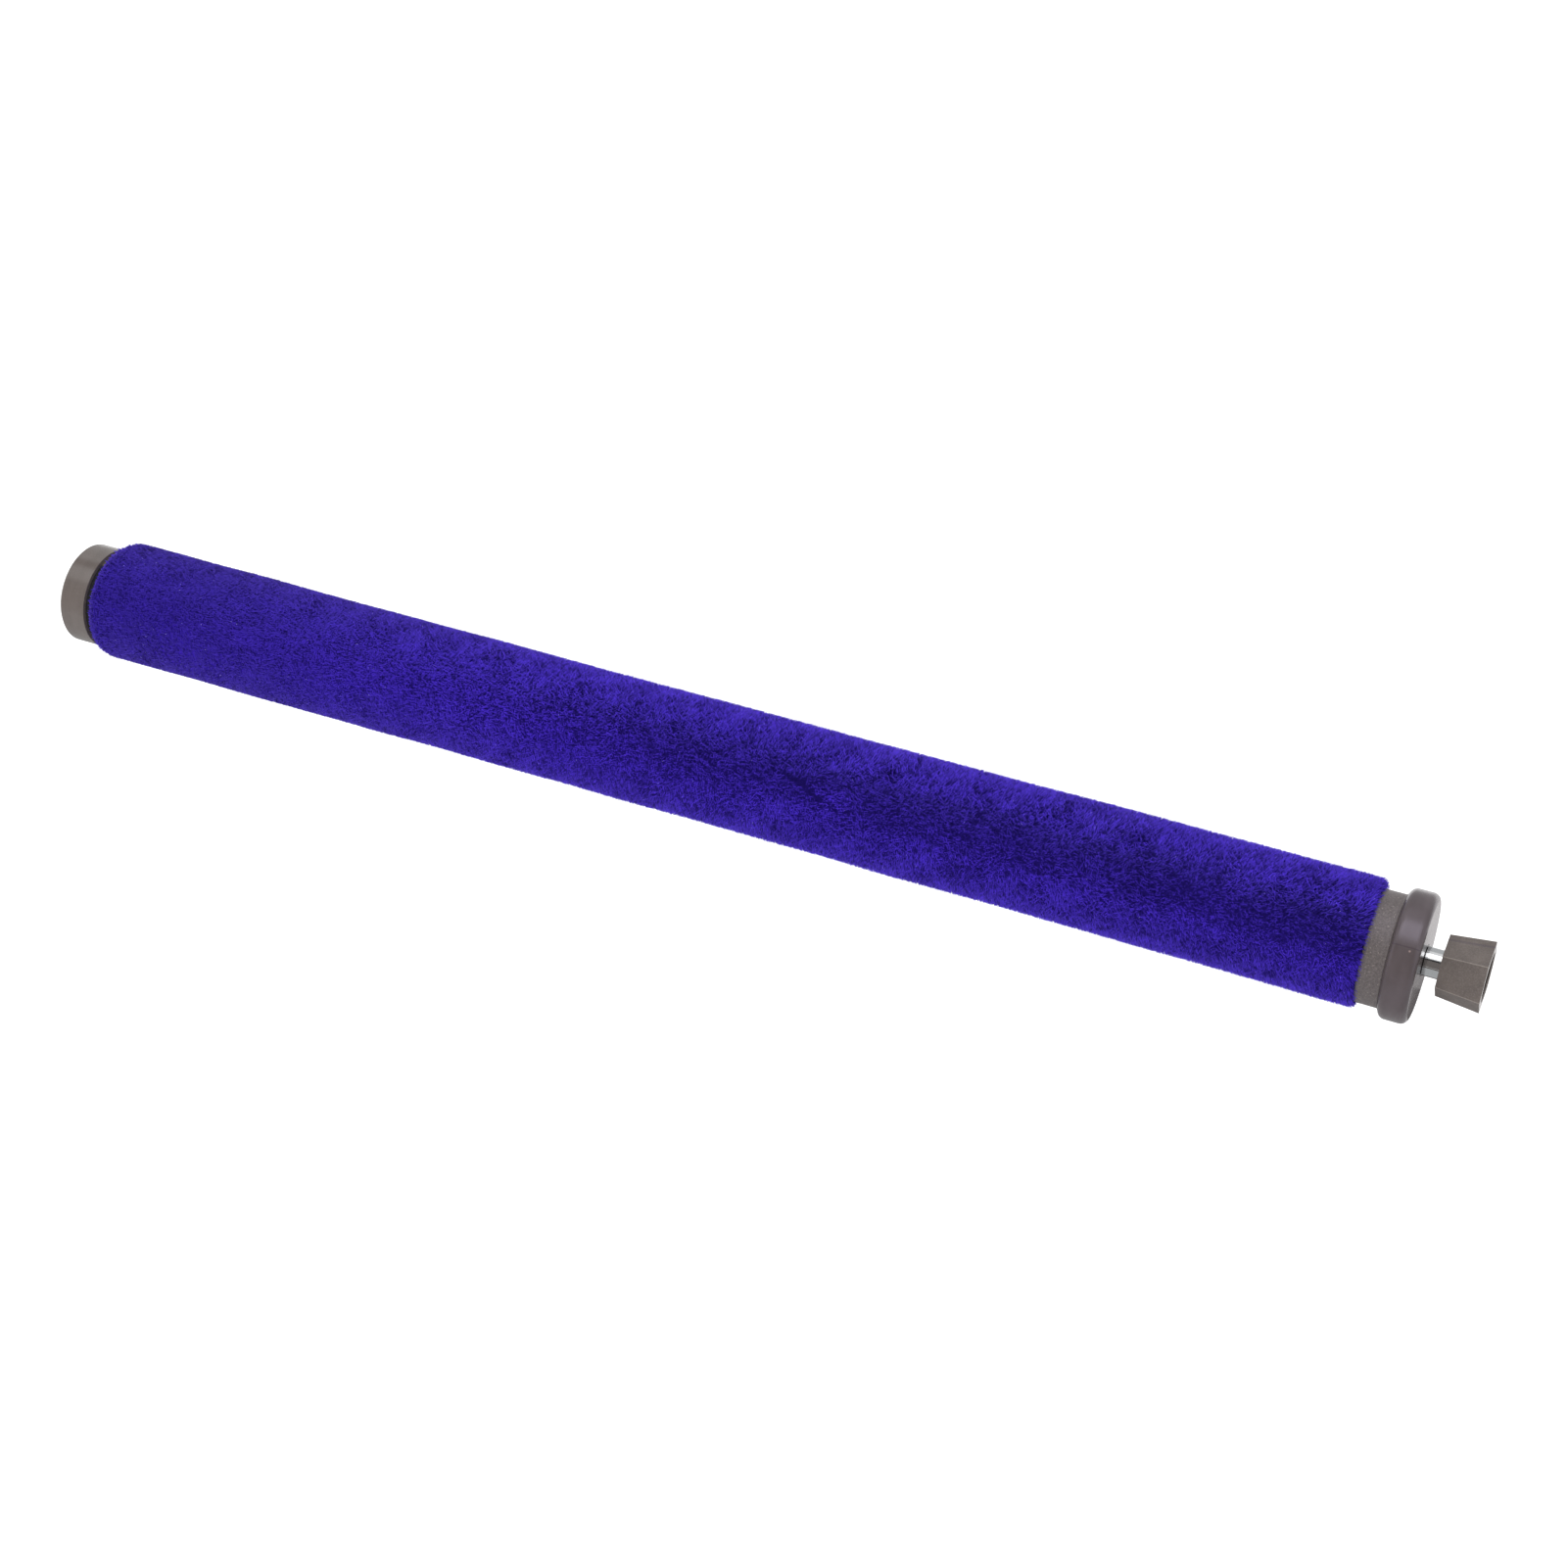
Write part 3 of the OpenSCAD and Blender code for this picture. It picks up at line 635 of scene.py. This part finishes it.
def bent_tufts(pattern, x, angle, rng):
    """Points of copies of the tuft pattern, each set on its root and bent over with the nap."""
    count = x.size
    radial = np.stack([np.zeros(count), np.cos(angle), np.sin(angle)], axis=-1)
    axial = np.tile([1.0, 0.0, 0.0], (count, 1))
    tilt = end_tilt(x)[:, None]
    out = np.cos(tilt) * radial + np.sin(tilt) * axial
    along = np.cos(tilt) * axial - np.sin(tilt) * radial
    round_it = np.cross(along, out)
    calm_end = calmness(x)
    swirl = (0.5 * wave_sum(SWIRLS, x, angle) + rng.normal(0, 0.45, count)) * (1 - 0.5 * calm_end)
    lean = (0.62 + 0.08 * wave_sum(SWELLS, x, angle) + rng.normal(0, 0.2, count)) * (1 + 0.5 * calm_end) * MM
    flip = np.where(rng.random(count) < 0.2, -1.0, 1.0)
    near_end = np.clip(1 - (SLEEVE_HIGH.x - x) / (1.6 * MM), 0, 1)
    near_start = np.clip(1 - (x - SLEEVE_LOW.x) / (1.5 * MM), 0, 1)
    calm = 1 - np.maximum(near_end, near_start)
    reach_x = flip * lean * np.cos(swirl) * calm + 0.8 * near_end * MM
    reach_a = flip * lean * np.sin(swirl) * (0.25 + 0.75 * calm)
    tangent = reach_x[:, None] * along + reach_a[:, None] * round_it
    tip = (x + reach_x, angle + reach_a / PILE_RADIUS)
    clump = clump_share(*tip) * off_crease(*tip)
    uneven = 0.07 * MM * wave_sum(CLUMPS, x, angle) + 0.06 * MM * rng.normal(0, 1, count)
    uneven -= 0.22 * MM * np.clip(1 - 2 * clump, 0, 1)
    depth = mat_depth(x)
    height = depth + 0.1 * MM + uneven * (1 - 0.6 * calm_end)
    height = np.clip(height, 0.5 * depth, 1.25 * depth) / (1 - TUFT_FLATTEN)
    root = tip_radius(x, angle)[:, None] * radial + x[:, None] * axial - (depth + 0.1 * MM)[:, None] * out
    side = np.cross(out, tangent)
    side /= np.maximum(np.linalg.norm(side, axis=1, keepdims=True), 1e-9)
    turn = rng.uniform(0, 2 * math.pi, count)
    width = TUFT_WIDTH * rng.uniform(0.8, 1.2, count) * (1 + 0.8 * calm_end)
    nap = np.interp(x, (SLEEVE_LOW.x, 0.45 * SLEEVE_HIGH.x), NAP_SHARE)[:, None]
    points = np.empty((count, len(pattern), 3))
    normals = np.empty((count, len(pattern), 3))
    for index, (u, v, h) in enumerate(pattern):
        spine = height[:, None] * (h - TUFT_FLATTEN * h * h) * out + tangent * h ** 1.7
        slope = height[:, None] * (1 - 2 * TUFT_FLATTEN * h) * out + 1.7 * tangent * h ** 0.7
        slope /= np.linalg.norm(slope, axis=1, keepdims=True)
        lift = np.cross(slope, side)
        across = u * np.cos(turn) - v * np.sin(turn)
        upward = u * np.sin(turn) + v * np.cos(turn)
        aside = across[:, None] * side + upward[:, None] * lift
        points[:, index] = root + spine + width[:, None] * aside
        own = 2 * aside + (1 if h > 0.9 else 0) * slope
        normals[:, index] = nap * out + (1 - nap) * own
    # The shade is low where clumps meet and in the crease; plush() covers those tufts with painted shadow.
    shade = (0.8 * clump + 0.2 * rng.random(count)) * off_crease(*tip)
    return points.reshape(-1, 3), normals.reshape(-1, 3), shade


def tuft_piece(name, pattern, x, angle, finish, rng):
    """A lot of tufts as one mesh, with its strand map: across is a shade, up is root to tip."""
    shape, shape_faces = pattern
    count = x.size
    points, normals, shade = bent_tufts(shape, x, angle, rng)
    faces = (len(shape) * np.arange(count)[:, None, None] + shape_faces[None]).reshape(-1, 3)
    mesh = bpy.data.meshes.new(name)
    mesh.vertices.add(len(points))
    mesh.vertices.foreach_set("co", points.astype(np.float32).ravel())
    mesh.loops.add(faces.size)
    mesh.loops.foreach_set("vertex_index", faces.astype(np.int32).ravel())
    mesh.polygons.add(len(faces))
    mesh.polygons.foreach_set("loop_start", np.arange(0, faces.size, 3, dtype=np.int32))
    mesh.polygons.foreach_set("use_smooth", np.ones(len(faces), dtype=bool))
    mesh.update(calc_edges=True)
    strand = np.empty((count, shape_faces.size, 2), np.float32)
    strand[:, :, 0] = shade[:, None]
    strand[:, :, 1] = shape[shape_faces.ravel(), 2][None]
    mesh.uv_layers.new(name="strand").data.foreach_set("uv", strand.ravel())
    normals /= np.linalg.norm(normals, axis=1, keepdims=True)
    mesh.normals_split_custom_set_from_vertices(normals.tolist())
    mesh.materials.append(finish.material)
    piece = bpy.data.objects.new(name, mesh)
    bpy.context.scene.collection.objects.link(piece)
    return piece


def pile():
    """The plush: a dense mat and five lots of tufts."""
    mat = pile_mat_piece()
    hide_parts("pile_sleeve")
    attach(mat, "roller")
    rng = np.random.default_rng(SEED + 1)
    pattern = tuft_pattern()
    x, angle = tuft_roots(rng)
    order = np.argsort(x)
    finish = plush()
    for index, lot in enumerate(np.array_split(order, TUFT_PIECES)):
        piece = tuft_piece(f"pile_tufts_{index + 1}", pattern, x[lot], angle[lot], finish, rng)
        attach(piece, "roller")


# Carried-over nodes

def soften_edges(node, width):
    """Rounds the sharp edges of a carried-over node so that they catch the light."""
    thing = frame["nodes"][node]
    weld = thing.modifiers.new("weld", "WELD")
    weld.merge_threshold = 0.001 * MM
    bevel = thing.modifiers.new("edges", "BEVEL")
    bevel.width = width
    bevel.segments = 3
    bevel.limit_method = "ANGLE"
    bevel.angle_limit = math.radians(30)


def mouldings():
    dress("drive_end_cap", smooth_taupe())
    dress("bearing_end_cap", eroded_taupe())
    dress("hex_end", textured_taupe())
    dress("drive_coupling", black_moulding("black_acetal", 0.38))
    dress("core_tube", black_moulding("black_tube", 0.8, gloss=0.05))


def steel():
    dress("axle_shaft", turned_steel("polished_steel", (0.66, 0.67, 0.68), 0.06, groove_radius=AXLE_RADIUS - 0.06 * MM))
    ground = turned_steel("ground_steel", (0.62, 0.62, 0.63), 0.22)
    dark = turned_steel("blackened_steel", (0.10, 0.10, 0.105), 0.38)
    brass = pressed_brass()
    for end in ("front", "rear"):
        for part in ("outer_race", "inner_race", "balls", "shields"):
            dress(f"{end}_bearing_{part}", ground)
        dress(f"{end}_bearing_cage", brass)
    for spacer in ("outer_race_spacer", "inner_race_spacer"):
        dress(spacer, ground)
    for clip in ("wave_washer", "bearing_circlip", "axle_clip"):
        dress(clip, dark)


# Stage

def camera():
    data = bpy.data.cameras.new("camera")
    data.sensor_width = SENSOR_WIDTH
    data.lens = FOCAL_PIXELS / IMAGE_PIXELS * SENSOR_WIDTH
    data.clip_start = 0.01
    data.clip_end = 20.0
    shot = bpy.data.objects.new("camera", data)
    bpy.context.scene.collection.objects.link(shot)
    shot.location = Vector((FLANGE_FACE, 0, 0)) + CAMERA_FROM_FLANGE
    tilt = math.radians(90 - CAMERA_ELEVATION)
    shot.rotation_euler = Euler((tilt, 0, math.radians(CAMERA_AZIMUTH)))
    bpy.context.scene.camera = shot


def area_light(name, place, aim, size, power, in_gloss=True):
    data = bpy.data.lights.new(name, "AREA")
    data.shape = "RECTANGLE"
    data.size, data.size_y = size
    data.energy = power
    lamp = bpy.data.objects.new(name, data)
    bpy.context.scene.collection.objects.link(lamp)
    lamp.location = place
    lamp.rotation_euler = (Vector(aim) - Vector(place)).to_track_quat("-Z", "Y").to_euler()
    lamp.visible_glossy = in_gloss


def lights():
    """A softbox straight over the roller, a low fill from the front and a rim light from behind."""
    area_light("softbox", (0.18, -0.055, 0.5), (0.18, -0.055, 0.0), (0.66, 0.29), 1.45)
    area_light("rim_light", (0.12, 0.50, 0.36), (0.12, 0.0, 0.0), (0.7, 0.16), 1.6, in_gloss=False)
    area_light("front_fill", (0.12, -0.50, 0.0), (0.12, 0.0, 0.0), (0.7, 0.10), 1.35, in_gloss=False)


def card(name, place, turn, size, glow):
    """A card that shows only in gloss, as photographers set beside a shiny object."""
    deselect_all()
    bpy.ops.mesh.primitive_plane_add(size=1.0, location=place, rotation=turn)
    sheet = bpy.context.active_object
    sheet.name = name
    sheet.scale = (*size, 1.0)
    bpy.ops.object.transform_apply(location=True, rotation=True, scale=True)
    material = bpy.data.materials.new(name)
    material.use_nodes = True
    tree = material.node_tree
    tree.nodes.clear()
    light = tree.nodes.new("ShaderNodeEmission")
    light.inputs["Color"].default_value = (glow[0], glow[1], glow[2], 1.0)
    output = tree.nodes.new("ShaderNodeOutputMaterial")
    tree.links.new(light.outputs[0], output.inputs["Surface"])
    sheet.data.materials.append(material)
    sheet.visible_camera = False
    sheet.visible_diffuse = False
    sheet.visible_shadow = False
    sheet.visible_transmission = False


def cards():
    upright = (math.radians(90), 0, 0)
    level = (0, 0, 0)
    card("brown_front_card", (0.1, -0.75, 0.41), upright, (2.4, 0.90), (0.19, 0.17, 0.16))
    card("black_edge_card", (0.1, -0.74, 0.99), upright, (2.4, 0.42), (0.05, 0.05, 0.05))
    card("brown_low_card", (0.1, -0.47, -0.056), level, (1.2, 0.54), (0.19, 0.17, 0.16))
    card("grey_low_card", (0.1, -0.08, -0.055), level, (1.2, 0.26), (0.52, 0.53, 0.535))
    card("dark_ceiling_card", (-0.42, 0.13, 0.5), level, (0.6, 0.20), (0.02, 0.02, 0.02))
    card("dark_face_card", (0.2395, 0.00425, -0.013), level, (0.006, 0.0085), (0.16, 0.15, 0.15))
    card("mid_face_card", (0.2395, 0.0105, -0.013), level, (0.006, 0.004), (0.42, 0.40, 0.40))
    card("pale_back_card", (0.1, 0.62, 0.44), upright, (2.4, 0.90), (0.60, 0.61, 0.615))
    card("bright_face_card", (0.25, 0.085, -0.05), level, (0.10, 0.11), (1.15, 1.12, 1.12))


def world():
    made = bpy.data.worlds.new("studio")
    made.use_nodes = True
    bpy.context.scene.world = made
    tree = made.node_tree
    background = tree.nodes["Background"]
    path = tree.nodes.new("ShaderNodeLightPath")
    seen = tree.nodes.new("ShaderNodeMapRange")
    seen.inputs["To Min"].default_value = 0.62
    seen.inputs["To Max"].default_value = 1.0
    gloss = tree.nodes.new("ShaderNodeMath")
    gloss.operation = "MAXIMUM"
    clear = tree.nodes.new("ShaderNodeMath")
    clear.operation = "MAXIMUM"
    tree.links.new(path.outputs["Is Camera Ray"], gloss.inputs[0])
    tree.links.new(path.outputs["Is Glossy Ray"], gloss.inputs[1])
    tree.links.new(gloss.outputs[0], clear.inputs[0])
    tree.links.new(path.outputs["Is Transmission Ray"], clear.inputs[1])
    tree.links.new(clear.outputs[0], seen.inputs["Value"])
    tree.links.new(seen.outputs["Result"], background.inputs["Strength"])
    background.inputs["Color"].default_value = (1.0, 1.0, 1.0, 1.0)


def floor():
    """A wide pale sheet under the roller, white to the camera but for the roller's shadow."""
    drop = 60 * MM
    deselect_all()
    bpy.ops.mesh.primitive_plane_add(size=6.0, location=(0.12, 0, cad_low.z - drop))
    sheet = bpy.context.active_object
    sheet.name = "floor"
    bpy.ops.object.transform_apply(location=True, rotation=False, scale=False)
    finish = Finish("floor_paper", 0.9, Specular_IOR_Level=0.0)
    tooth = finish.noise(1.5 * MM)
    finish.colour(finish.mix(tooth, (0.86, 0.86, 0.86), (0.88, 0.88, 0.88)))
    path = finish.add("ShaderNodeLightPath")
    seen = finish.add("ShaderNodeMath", {"operation": "MAXIMUM"},
                      {0: path.outputs["Is Camera Ray"], 1: path.outputs["Is Glossy Ray"]})
    glow = finish.add("ShaderNodeEmission", {}, {"Color": (1.0, 1.0, 1.0), "Strength": 0.35})
    both = finish.add("ShaderNodeAddShader", {}, {0: finish.shader.outputs[0], 1: glow.outputs[0]})
    shown = finish.add("ShaderNodeMixShader", {}, {0: seen.outputs[0],
                                                   1: finish.shader.outputs[0], 2: both.outputs[0]})
    output = finish.tree.nodes["Material Output"]
    finish.tree.links.new(shown.outputs[0], output.inputs["Surface"])
    sheet.data.materials.append(finish.material)


random_source = np.random.default_rng(SEED)
SWELLS = waves(random_source, 14, 70 * MM, 14 * MM)
SWIRLS = waves(random_source, 16, 14 * MM, 4 * MM)
CLUMPS = waves(random_source, 24, 3.5 * MM, 1.4 * MM)
CLUMP_GRID = clump_grid(np.random.default_rng(SEED + 2))

bpy.context.scene.view_settings.view_transform = "Standard"
camera()
pile()
mouldings()
steel()
soften_edges("hex_end", 0.12 * MM)
world()
lights()
cards()
floor()
